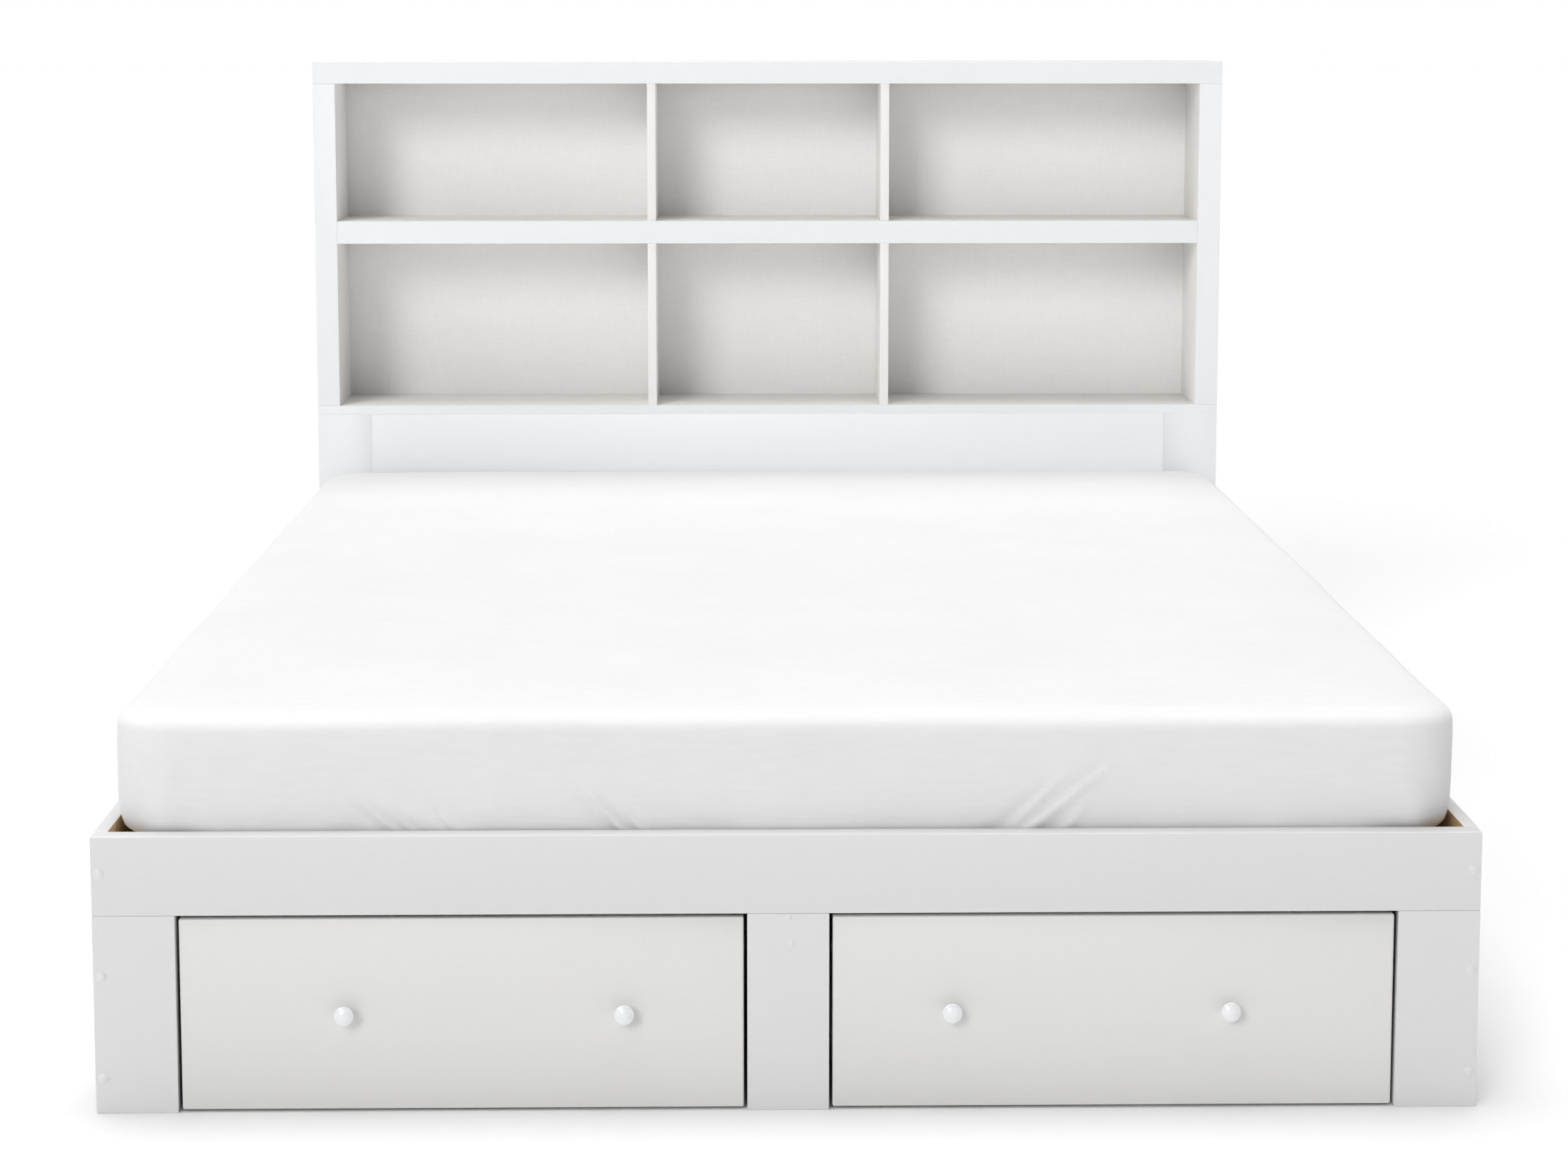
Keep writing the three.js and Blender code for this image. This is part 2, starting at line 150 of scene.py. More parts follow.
class Shader:
    """A Principled material with procedural textures in object space.

    The plain colour given first stays on the socket, under the textured one.
    """

    def __init__(self, name, color, roughness, **constants):
        self.material = bpy.data.materials.new(name)
        self.material.use_nodes = True
        self.tree = self.material.node_tree
        self.bsdf = self.tree.nodes["Principled BSDF"]
        self.bsdf.inputs["Base Color"].default_value = (*color, 1)
        self.bsdf.inputs["Roughness"].default_value = roughness
        for socket, value in constants.items():
            self.bsdf.inputs[socket.replace("_", " ")].default_value = value
        self.coordinates = self.tree.nodes.new("ShaderNodeTexCoord").outputs["Object"]
        self.height = None

    def node(self, kind, **inputs):
        made = self.tree.nodes.new(kind)
        for name, value in inputs.items():
            self.feed(made.inputs[name.replace("_", " ")], value)
        return made

    def feed(self, socket, value):
        if isinstance(value, bpy.types.NodeSocket):
            self.tree.links.new(value, socket)
        else:
            socket.default_value = value

    def stretched(self, scale):
        """Object coordinates scaled along each axis."""
        mapping = self.node("ShaderNodeMapping", Vector=self.coordinates)
        mapping.inputs["Scale"].default_value = scale
        return mapping.outputs["Vector"]

    def noise(self, scale, detail=2, stretch=(1, 1, 1), distortion=0):
        made = self.node("ShaderNodeTexNoise", Vector=self.stretched(stretch), Scale=scale)
        made.inputs["Detail"].default_value = detail
        made.inputs["Distortion"].default_value = distortion
        return made.outputs["Fac"]

    def cells(self, scale, stretch=(1, 1, 1)):
        """Distance to the nearest of many scattered points."""
        made = self.node("ShaderNodeTexVoronoi", Vector=self.stretched(stretch), Scale=scale)
        return made.outputs["Distance"]

    def ramp(self, value, low, high):
        made = self.node("ShaderNodeMapRange", Value=value)
        made.inputs["From Min"].default_value = low
        made.inputs["From Max"].default_value = high
        return made.outputs["Result"]

    def between(self, value, low, high):
        made = self.node("ShaderNodeMapRange", Value=value)
        made.inputs["To Min"].default_value = low
        made.inputs["To Max"].default_value = high
        return made.outputs["Result"]

    def math(self, operation, first, second=0.0):
        made = self.tree.nodes.new("ShaderNodeMath")
        made.operation = operation
        self.feed(made.inputs[0], first)
        self.feed(made.inputs[1], second)
        return made.outputs["Value"]

    def blend(self, first, second, share):
        """One value with that share of another."""
        part = self.math("MULTIPLY", second, share)
        return self.math("ADD", self.math("MULTIPLY", first, 1 - share), part)

    def mix(self, value, first, second):
        made = self.tree.nodes.new("ShaderNodeMix")
        made.data_type = "RGBA"
        self.feed(made.inputs["Factor"], value)
        for socket, color in ((made.inputs["A"], first), (made.inputs["B"], second)):
            self.feed(socket, color if isinstance(color, bpy.types.NodeSocket) else (*color, 1))
        return made.outputs["Result"]

    def axes(self):
        """The X, Y and Z of the object coordinates."""
        return self.node("ShaderNodeSeparateXYZ", Vector=self.coordinates).outputs

    def clouded(self, color, dimming):
        """That colour with faint darker clouds."""
        return self.mix(self.noise(scale=2.2, detail=3), dimmed(color, dimming), color)

    def paint(self, color):
        self.feed(self.bsdf.inputs["Base Color"], color)

    def color_between(self, value, first, second):
        self.paint(self.mix(value, first, second))

    def roughness_between(self, value, low, high):
        self.feed(self.bsdf.inputs["Roughness"], self.between(value, low, high))

    def bump(self, height, depth, strength=1.0):
        """Adds a bump of that depth in metres on top of the ones before it."""
        made = self.node("ShaderNodeBump", Height=height, Distance=depth, Strength=strength)
        if self.height is not None:
            self.tree.links.new(self.height, made.inputs["Normal"])
        self.height = made.outputs["Normal"]
        self.tree.links.new(self.height, self.bsdf.inputs["Normal"])


def dimmed(color, share):
    return [value * share for value in color]


def drawn_out(axis, share):
    """A texture scale that draws a pattern out along one axis."""
    stretch = [1, 1, 1]
    stretch[axis] = share
    return stretch


FOIL_CLOUDS = 0.972  # darkest share of a white board's colour
FOIL_GRAIN = 0.06  # share of the grain's scale that is left along the board
# Inside the compartments the bookcase boards take the back's warmer tone: painted warm light.
WARM_LIGHT_INSET = 1.2 * MM  # how far the outer colour of a bookcase board reaches round its edges


def foil_board(name, color, grain_axis, roughness, spread=(-0.06, 0.08)):
    """A white board with a faint pressed grain along one axis; gives its shader."""
    shader = Shader(name, color, roughness, Specular_IOR_Level=0.45)
    grain = shader.noise(scale=420, detail=3, stretch=drawn_out(grain_axis, FOIL_GRAIN))
    shader.roughness_between(grain, roughness + spread[0], roughness + spread[1])
    shader.bump(grain, 0.05 * MM, 0.5)
    return shader


def lacquered_board(name, color, grain_axis, roughness=0.4):
    """White foiled board with slight colour clouds, a pressed grain and a fine orange peel."""
    shader = foil_board(name, color, grain_axis, roughness)
    shader.paint(shader.clouded(color, FOIL_CLOUDS))
    shader.bump(shader.noise(scale=900, detail=1), 0.03 * MM, 0.35)
    return shader.material


def half_lacquered_board(name, color, grain_axis, inner_x):
    """A white board that is bare pine where it faces inward, nearer the middle than inner_x."""
    shader = foil_board(name, color, grain_axis, 0.42, (-0.06, 0.1))
    inward = shader.math("LESS_THAN", shader.math("ABSOLUTE", shader.axes()["X"]), inner_x)
    stretch = drawn_out(grain_axis, FOIL_GRAIN)
    streaks = shader.noise(scale=30, detail=4, stretch=stretch, distortion=0.4)
    bare = shader.mix(shader.ramp(streaks, 0.3, 0.7), (0.62, 0.42, 0.23), (0.75, 0.56, 0.35))
    shader.paint(shader.mix(inward, shader.clouded(color, FOIL_CLOUDS), bare))
    return shader.material


def bookcase_board(name, color, inside, grain_axis):
    """A white board of the bookcase whose faces inside the compartments have a warmer tone: painted
    warm light, as falls inside the compartments.
    """
    shader = foil_board(name, color, grain_axis, 0.4)
    low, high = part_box("bookcase_top")
    axes = shader.axes()
    behind = shader.math("GREATER_THAN", axes["Y"], low.y + WARM_LIGHT_INSET)
    within = shader.math("LESS_THAN", shader.math("ABSOLUTE", axes["X"]), high.x - WARM_LIGHT_INSET)
    below = shader.math("LESS_THAN", axes["Z"], high.z - WARM_LIGHT_INSET)
    painted_light_inside = shader.math("MULTIPLY", shader.math("MULTIPLY", behind, within), below)
    # Painted light: the faces inside the compartments get the back panel's warmer tone.
    inner = shader.clouded(inside, 0.96)
    shader.paint(shader.mix(painted_light_inside, shader.clouded(color, FOIL_CLOUDS), inner))
    return shader.material


def linen_board(name, color):
    """Back panel paper with a fine crossed linen print."""
    shader = Shader(name, color, 0.6, Specular_IOR_Level=0.3)
    along = shader.noise(scale=520, detail=2, stretch=(1, 1, 0.05))
    across = shader.noise(scale=520, detail=2, stretch=(0.05, 1, 1))
    weave = shader.math("MULTIPLY", shader.math("ADD", along, across), 0.5)
    clouds = shader.noise(scale=3, detail=4)
    patchy = shader.blend(weave, clouds, 0.3)
    shader.color_between(shader.ramp(patchy, 0.35, 0.65), dimmed(color, 0.93), color)
    shader.bump(weave, 0.08 * MM, 0.6)
    return shader.material


def pine_wood(name, grain_axis):
    """Planed pine: long wavering rings, darker late wood, a few knots and pores along the grain."""
    shader = Shader(name, (0.72, 0.5, 0.27), 0.62, Specular_IOR_Level=0.3)
    stretch = drawn_out(grain_axis, 0.045)
    warp = shader.noise(scale=9, detail=2, stretch=stretch, distortion=0.6)
    rings = shader.math("FRACT", shader.math("MULTIPLY", warp, 13))
    late_wood = shader.math("POWER", rings, 3)
    fibre = shader.noise(scale=700, detail=2, stretch=stretch)
    light = shader.mix(shader.noise(scale=2, detail=2), (0.79, 0.6, 0.37), (0.7, 0.5, 0.28))
    ringed = shader.mix(shader.math("MULTIPLY", late_wood, 0.7), light, (0.5, 0.29, 0.12))
    knots = shader.ramp(shader.cells(5.5, drawn_out(grain_axis, 0.45)), 0.11, 0.05)
    with_knots = shader.mix(knots, ringed, (0.26, 0.13, 0.05))
    shader.color_between(shader.math("MULTIPLY", fibre, 0.25), with_knots, (0.4, 0.24, 0.11))
    shader.roughness_between(fibre, 0.5, 0.78)
    shader.bump(fibre, 0.12 * MM, 0.6)
    shader.bump(rings, 0.05 * MM, 0.4)
    return shader.material


def cotton_sheet(name):
    """White percale: a fine plain weave, thread slubs and faint clouds."""
    sheen = {"Sheen_Weight": 0.25, "Sheen_Roughness": 0.5, "Sheen_Tint": (1, 1, 1, 1)}
    shader = Shader(name, (0.93, 0.93, 0.945), 0.92, Specular_IOR_Level=0.2, **sheen)
    warp = shader.noise(scale=1500, detail=1, stretch=(1, 0.12, 0.3))
    weft = shader.noise(scale=1500, detail=1, stretch=(0.12, 1, 1))
    weave = shader.math("MULTIPLY", shader.math("ADD", warp, weft), 0.5)
    slubs = shader.noise(scale=160, detail=2, stretch=(0.15, 1, 1))
    clouds = shader.noise(scale=6, detail=3)
    tone = shader.blend(slubs, clouds, 0.5)
    shader.color_between(shader.ramp(tone, 0.35, 0.65), (0.72, 0.72, 0.728), (0.75, 0.75, 0.757))
    shader.bump(weave, 0.25 * MM, 0.55)
    shader.bump(slubs, 0.12 * MM, 0.35)
    return shader.material


def ticking(name):
    """Knitted mattress cover with a small quilted pattern."""
    shader = Shader(name, (0.86, 0.86, 0.84), 0.9, Sheen_Weight=0.2)
    knit = shader.noise(scale=900, detail=1, stretch=(1, 0.3, 1))
    tone = shader.ramp(shader.cells(26), 0.0, 0.7)
    # The colour darkens in the quilting's dimples, where the same cells sink the bump: painted
    # shade.
    shader.color_between(tone, (0.8, 0.8, 0.78), (0.88, 0.88, 0.86))
    shader.bump(tone, 1.5 * MM, 0.6)
    shader.bump(knit, 0.2 * MM, 0.5)
    return shader.material


def moulded_plastic(name, color, roughness, coat=0.0):
    """Plastic with faint flow marks and, where coat is above 0, a glossy skin."""
    shader = Shader(name, color, roughness, Coat_Weight=coat, Coat_Roughness=0.06)
    shader.color_between(shader.noise(scale=60, detail=2), dimmed(color, 0.96), color)
    wear = shader.noise(scale=400, detail=2)
    shader.roughness_between(wear, roughness * 0.85, roughness * 1.2)
    shader.bump(shader.noise(scale=1200, detail=1), 0.02 * MM, 0.3)
    return shader.material


def zinc_steel(name):
    """Zinc-plated sheet steel with spangle and brushed streaks."""
    shader = Shader(name, (0.62, 0.63, 0.64), 0.36, Metallic=1.0)
    shader.color_between(shader.cells(260), (0.52, 0.53, 0.55), (0.7, 0.71, 0.72))
    streaks = shader.noise(scale=900, detail=2, stretch=(1, 0.05, 1))
    shader.roughness_between(streaks, 0.26, 0.48)
    shader.bump(streaks, 0.03 * MM, 0.4)
    return shader.material


def woven_tape(name):
    """Polyester webbing: ribs across the tape."""
    shader = Shader(name, (0.8, 0.79, 0.75), 0.9, Sheen_Weight=0.2)
    wave = shader.node("ShaderNodeTexWave", Vector=shader.coordinates, Scale=160, Distortion=1.2)
    wave.bands_direction = "Y"
    ribs = wave.outputs["Fac"]
    # The colour darkens in the grooves between the ribs, where the bump sinks: painted shade.
    shader.color_between(ribs, (0.66, 0.65, 0.61), (0.84, 0.83, 0.79))
    shader.bump(ribs, 0.4 * MM, 0.6)
    return shader.material


# --- Mesh helpers ---------------------------------------------------------------------------


def add_object(name, mesh, material, body):
    piece = bpy.data.objects.new(name, mesh)
    bpy.context.scene.collection.objects.link(piece)
    mesh.materials.append(material)
    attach(piece, body)
    return piece


def smooth(mesh):
    mesh.polygons.foreach_set("use_smooth", [True] * len(mesh.polygons))


def mesh_from_parts(name, parts):
    """One mesh from (vertices, faces) pairs."""
    vertices, faces = [], []
    for part_vertices, part_faces in parts:
        start = len(vertices)
        vertices += [tuple(point) for point in part_vertices]
        faces += [tuple(start + index for index in face) for face in part_faces]
    mesh = bpy.data.meshes.new(name)
    mesh.from_pydata(vertices, [], faces)
    mesh.update()
    return mesh


def turned(profile, place, direction, segments=48):
    """A lathe shape: (radius, along) points from axis to axis, turned about direction at place."""
    turn = Vector((0, 0, 1)).rotation_difference(Vector(direction)).to_matrix()
    place = Vector(place)
    vertices, faces, rings = [], [], []
    for radius, along in profile:
        if radius == 0:
            rings.append([len(vertices)] * segments)
            vertices.append(place + turn @ Vector((0, 0, along)))
            continue
        rings.append(list(range(len(vertices), len(vertices) + segments)))
        for step in range(segments):
            angle = 2 * math.pi * step / segments
            local = Vector((radius * math.cos(angle), radius * math.sin(angle), along))
            vertices.append(place + turn @ local)
    for below, above in zip(rings, rings[1:]):
        for step in range(segments):
            after = (step + 1) % segments
            loop = [below[step], below[after], above[after], above[step]]
            face = list(dict.fromkeys(loop))
            if len(face) > 2:
                faces.append(face)
    return vertices, faces


def rounded_box(low, high, radius, segments=2):
    """A box with rounded edges, as (vertices, faces)."""
    made = bmesh.new()
    bmesh.ops.create_cube(made, size=1)
    size = Vector(high) - Vector(low)
    middle = (Vector(high) + Vector(low)) / 2
    place = Matrix.Translation(middle) @ Matrix.Diagonal((*size, 1))
    bmesh.ops.transform(made, matrix=place, verts=made.verts)
    edges = made.edges[:]
    bmesh.ops.bevel(
        made, geom=edges, offset=radius, segments=segments, profile=0.5, affect="EDGES"
    )
    made.verts.index_update()
    vertices = [vertex.co.copy() for vertex in made.verts]
    faces = [[vertex.index for vertex in face.verts] for face in made.faces]
    made.free()
    return vertices, faces


def arc(center, radius, start, end, steps):
    """Points of an arc in the (radius, along) plane, with angles in degrees."""
    angles = np.radians(np.linspace(start, end, steps))
    return [(center[0] + radius * math.cos(a), center[1] + radius * math.sin(a)) for a in angles]


def set_material(node, material):
    """Gives a CAD node a better material."""
    piece = NODES[node]
    if piece.material_slots:
        for slot in piece.material_slots:
            slot.material = material
    else:
        piece.data.materials.append(material)


def round_edges(node, width, segments=3):
    """Rounds a CAD board's edges with modifiers, leaving its own points where they are."""
    piece = NODES[node]
    weld = piece.modifiers.new("weld", "WELD")
    weld.merge_threshold = 1e-5
    bevel = piece.modifiers.new("edges", "BEVEL")
    bevel.width = width
    bevel.segments = segments
    bevel.limit_method = "ANGLE"
    bevel.angle_limit = math.radians(30)
    bevel.harden_normals = True
    smooth(piece.data)


# --- Boards ---------------------------------------------------------------------------------

# The frame boards are the headboard's white board painted darker: painted shade, where less light
# reaches them low near the floor.
SHADED_FRAME_WHITE = (0.675, 0.68, 0.675)
HEADBOARD_WHITE = (0.875, 0.888, 0.902)
DRAWER_WHITE = (0.705, 0.702, 0.69)
INSIDE_WHITE = (0.74, 0.73, 0.7)
# The back paper's own colour, also painted on the bookcase boards' inner faces as warm light.
BACK_WHITE_AND_WARM_LIGHT = (0.905, 0.893, 0.874)


def finish_boards():
    along_x = lacquered_board("frame_board_along_x", SHADED_FRAME_WHITE, 0)
    inner_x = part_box("side_panel_right")[0].x + 0.5 * MM
    side_board = half_lacquered_board("side_board_along_y", SHADED_FRAME_WHITE, 1, inner_x)
    upright = lacquered_board("frame_board_upright", SHADED_FRAME_WHITE, 2)
    head_x = lacquered_board("headboard_along_x", HEADBOARD_WHITE, 0)
    head_z = lacquered_board("headboard_upright", HEADBOARD_WHITE, 2)
    fronts = lacquered_board("drawer_front_foil", DRAWER_WHITE, 0, roughness=0.36)
    inside = lacquered_board("drawer_box_foil", INSIDE_WHITE, 1, roughness=0.5)
    linen = linen_board("bookcase_back_paper", BACK_WHITE_AND_WARM_LIGHT)
    case_x = bookcase_board("bookcase_along_x", HEADBOARD_WHITE, BACK_WHITE_AND_WARM_LIGHT, 0)
    case_z = bookcase_board("bookcase_upright", HEADBOARD_WHITE, BACK_WHITE_AND_WARM_LIGHT, 2)
    pine_y = pine_wood("pine_along_y", 1)
    pine_z = pine_wood("pine_upright", 2)
    kinds = [
        ("footboard_rail", along_x, 1.2 * MM),
        ("footboard_leg", upright, 1.2 * MM),
        ("side_panel", side_board, 1.0 * MM),
        ("headboard_stile", head_z, 1.3 * MM),
        ("headboard_end", head_z, 0.8 * MM),
        ("headboard_lower", head_x, 0.8 * MM),
        ("bookcase_side", case_z, 1.1 * MM),
        ("bookcase_divider", case_z, 0.8 * MM),
        ("bookcase_back", linen, 0.5 * MM),
        ("bookcase_", case_x, 1.1 * MM),
        ("ledger", pine_y, 2.0 * MM),
        ("center_beam", pine_y, 2.0 * MM),
        ("beam_foot", pine_z, 2.5 * MM),
    ]
    for node in NODES:
        if node.startswith("drawer_"):
            if node.endswith("_front"):
                set_material(node, fronts)
                round_edges(node, 2.6 * MM, 5)
            elif node.rsplit("_", 1)[-1] in ("back", "floor") or "_side_" in node:
                set_material(node, inside)
                round_edges(node, 0.8 * MM)
            continue
        for start, material, rounding in kinds:
            if node.startswith(start):
                set_material(node, material)
                round_edges(node, rounding)
                break


# --- Knobs ----------------------------------------------------------------------------------


def make_knobs(material):
    for drawer in ("drawer_left", "drawer_right"):
        for place in ("inner", "outer"):
            node = f"{drawer}_knob_{place}"
            low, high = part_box(node)
            middle = (low + high) / 2
            radius = (high.x - low.x) / 2
            proud = high.y - low.y
            rim = proud - 5.2 * MM
            profile = [
                (0, 0),
                (5.4 * MM, 0),
                *arc((5.4 * MM, 0.6 * MM), 0.6 * MM, -60, 0, 3),
                *arc((7.0 * MM, 4.6 * MM), 2.1 * MM, -120, -180, 6),
                *arc((9.4 * MM, 7.0 * MM), 4.5 * MM, 180, 112, 8),
                *arc((radius - 3.2 * MM, rim), 3.2 * MM, -66, 42, 12),
                *arc((0, proud - 15 * MM), 15 * MM, 52, 90, 14)[:-1],
                (0, proud),
            ]
            parts = [turned(profile, (middle.x, high.y, middle.z), (0, -1, 0), 72)]
            mesh = mesh_from_parts(f"{node}_turned", parts)
            smooth(mesh)
            knob = add_object(f"{node}_turned", mesh, material, drawer)
            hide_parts(node)


# --- Mattress and fitted sheet --------------------------------------------------------------

SHEET_INSET = 0.05  # from the widest outline to the edge of the flat top
SHEET_CORNER = 0.02  # corner radius of the flat top
SHEET_SIDE_BULGE = 8 * MM  # past the mattress's own width
SHEET_END_BULGE = 5 * MM
SHEET_FOLD_STEP = 4 * MM  # between the sheet's points along its folds
SHEET_STEP = 13 * MM  # between them along the middle of its length
SHEET_RINGS = 68
CORE_FINE_STEP = 14 * MM
CORE_STEP = 30 * MM
CORE_RINGS = 26
CORE_BOTTOM = 0.1595  # below the top
TUCK = 0.075  # how far the hem lies in under the mattress
CLOTH_GAP = 4 * MM  # from the plain cloth to the mattress
DEEPEST_DIP = -2.4 * MM  # how far a ripple of the cloth may reach toward the mattress
WELL_GAP = 0.7 * MM  # from the cloth to the boards round it
HEM_SIDES = 8
HEM_HALF_WIDTH = 4.5 * MM
HEM_HALF_HEIGHT = 0.75 * MM
HEM_INSET = 3.5 * MM  # from the cloth's edge to the middle of the hem

# From the edge of the flat top, over the edge, down the side and under, round the corners of the
# mattress: outward, and below the edge of the flat top
SHEET_PROFILE = (
    (0.0, 0.0),
    (0.013, 0.0014),
    (0.026, 0.0040),
    (0.037, 0.0082),
    (0.0450, 0.0145),
    (0.0490, 0.0225),
    (0.0500, 0.0340),
    (0.0496, 0.0600),
    (0.0488, 0.0850),
    (0.0483, 0.1060),
    (0.0476, 0.1220),
    (0.0458, 0.1340),
    (0.0415, 0.1430),
    (0.0320, 0.1510),
    (0.0150, 0.1570),
    (-0.0120, 0.1608),
    (-0.0430, 0.1622),
    (-TUCK, 0.1628),
)

# The same between the corners, where the cloth hangs straight to a tighter turn
STRAIGHT_PROFILE = (
    *SHEET_PROFILE[:9],
    (0.0485, 0.1080),
    (0.0483, 0.1270),
    (0.0481, 0.1400),
    (0.0462, 0.1485),
    (0.0385, 0.1555),
    (0.0215, 0.1600),
    (-0.0050, 0.1618),
    (-0.0380, 0.1626),
    (-TUCK, 0.1628),
)
CORNER_LIFT_REACH = 0.06
CROWN = 7 * MM  # how far the middle of the top stands above its edge, and above the CAD mattress
CROWN_REACH = 0.19
SHEET_SHOULDER = 0.1  # depth by which the side has made up for the crown

# Diagonal pulls low on the front of the sheet: x and height of each end, and its depth
FRONT_PULLS = (
    ((-0.508, 0.372), (-0.442, 0.314), 3.0 * MM),
    ((-0.480, 0.366), (-0.420, 0.312), 4.1 * MM),
    ((-0.454, 0.358), (-0.402, 0.312), 3.6 * MM),
    ((-0.430, 0.352), (-0.386, 0.310), 3.0 * MM),
    ((-0.402, 0.344), (-0.370, 0.310), 2.2 * MM),
    ((-0.248, 0.388), (-0.184, 0.312), 4.3 * MM),
    ((-0.212, 0.374), (-0.162, 0.312), 3.3 * MM),
    ((0.320, 0.390), (0.240, 0.312), 3.9 * MM),
    ((0.380, 0.405), (0.252, 0.310), 4.5 * MM),
    ((0.346, 0.356), (0.308, 0.318), 2.7 * MM),
)


def smooth_curve(points, count):
    """A smooth line through the points, with that many new points evenly along it."""
    points = np.array(points, float)
    along = np.concatenate([[0], np.cumsum(np.linalg.norm(np.diff(points, axis=0), axis=1))])
    slopes = np.gradient(points, along, axis=0)
    wanted = np.linspace(0, along[-1], count)
    piece = np.clip(np.searchsorted(along, wanted, side="right") - 1, 0, len(along) - 2)
    span = (along[piece + 1] - along[piece])[:, None]
    t = ((wanted - along[piece])[:, None]) / span
    start, end = points[piece], points[piece + 1]
    cubic = (2 * t**3 - 3 * t**2 + 1) * start + (t**3 - 2 * t**2 + t) * span * slopes[piece]
    cubic += (3 * t**2 - 2 * t**3) * end + (t**3 - t**2) * span * slopes[piece + 1]
    return cubic


def ripples(points, wavelength, seed, count=14, stretch=(1, 1, 1)):
    """A smooth irregular field of about -1 to 1 with that wavelength."""
    random = np.random.default_rng(seed)
    directions = random.normal(size=(count, 3))
    directions /= np.linalg.norm(directions, axis=1)[:, None]
    directions /= np.array(stretch)
    lengths = wavelength * random.uniform(0.7, 1.5, count)
    phases = random.uniform(0, 2 * np.pi, count)
    angles = points @ (2 * np.pi * directions / lengths[:, None]).T + phases
    return np.sin(angles).sum(axis=1) / math.sqrt(count)


def side_steps(half, corner, coarse, fine, fine_reach):
    """Places from -half to half, close together near the two ends."""
    places, at = [0.0], 0.0
    while at < half:
        from_end = half - at
        share = min(1.0, max(0.0, (from_end - corner) / fine_reach))
        at += fine + (coarse - fine) * share
        places.append(at)
    places = np.array(places) * (half / places[-1])
    return np.concatenate([-places[:0:-1], places])


def bed_outline(half_x, half_y, corner, xs, ys):
    """Points and outward normals round a rounded rectangle, one per grid line end."""
    places, normals = [], []

    def along(steps, half, point_at, start_angle):
        for step in steps[:-1]:
            past = abs(step) - (half - corner)
            if past <= 0:
                place, normal = point_at(step, None)
            else:
                turn = math.copysign(math.pi / 4 * past / corner, step)
                place, normal = point_at(step, start_angle + turn)
            places.append(place)
            normals.append(normal)

    def side(angle, half_along, half_out):
        out = np.array([math.cos(angle), math.sin(angle)])
        ahead = np.array([-out[1], out[0]])

        def point_at(step, turned_angle):
            if turned_angle is None:
                return out * half_out + ahead * step, out
            center = out * (half_out - corner) + ahead * math.copysign(half_along - corner, step)
            normal = np.array([math.cos(turned_angle), math.sin(turned_angle)])
            return center + normal * corner, normal

        return point_at

    for angle, steps, half_along, half_out in (
        (-math.pi / 2, xs, half_x, half_y),
        (0, ys, half_y, half_x),
        (math.pi / 2, -xs[::-1], half_x, half_y),
        (math.pi, -ys[::-1], half_y, half_x),
    ):
        along(steps, half_along, side(angle, half_along, half_out), angle)
    return np.array(places), np.array(normals)


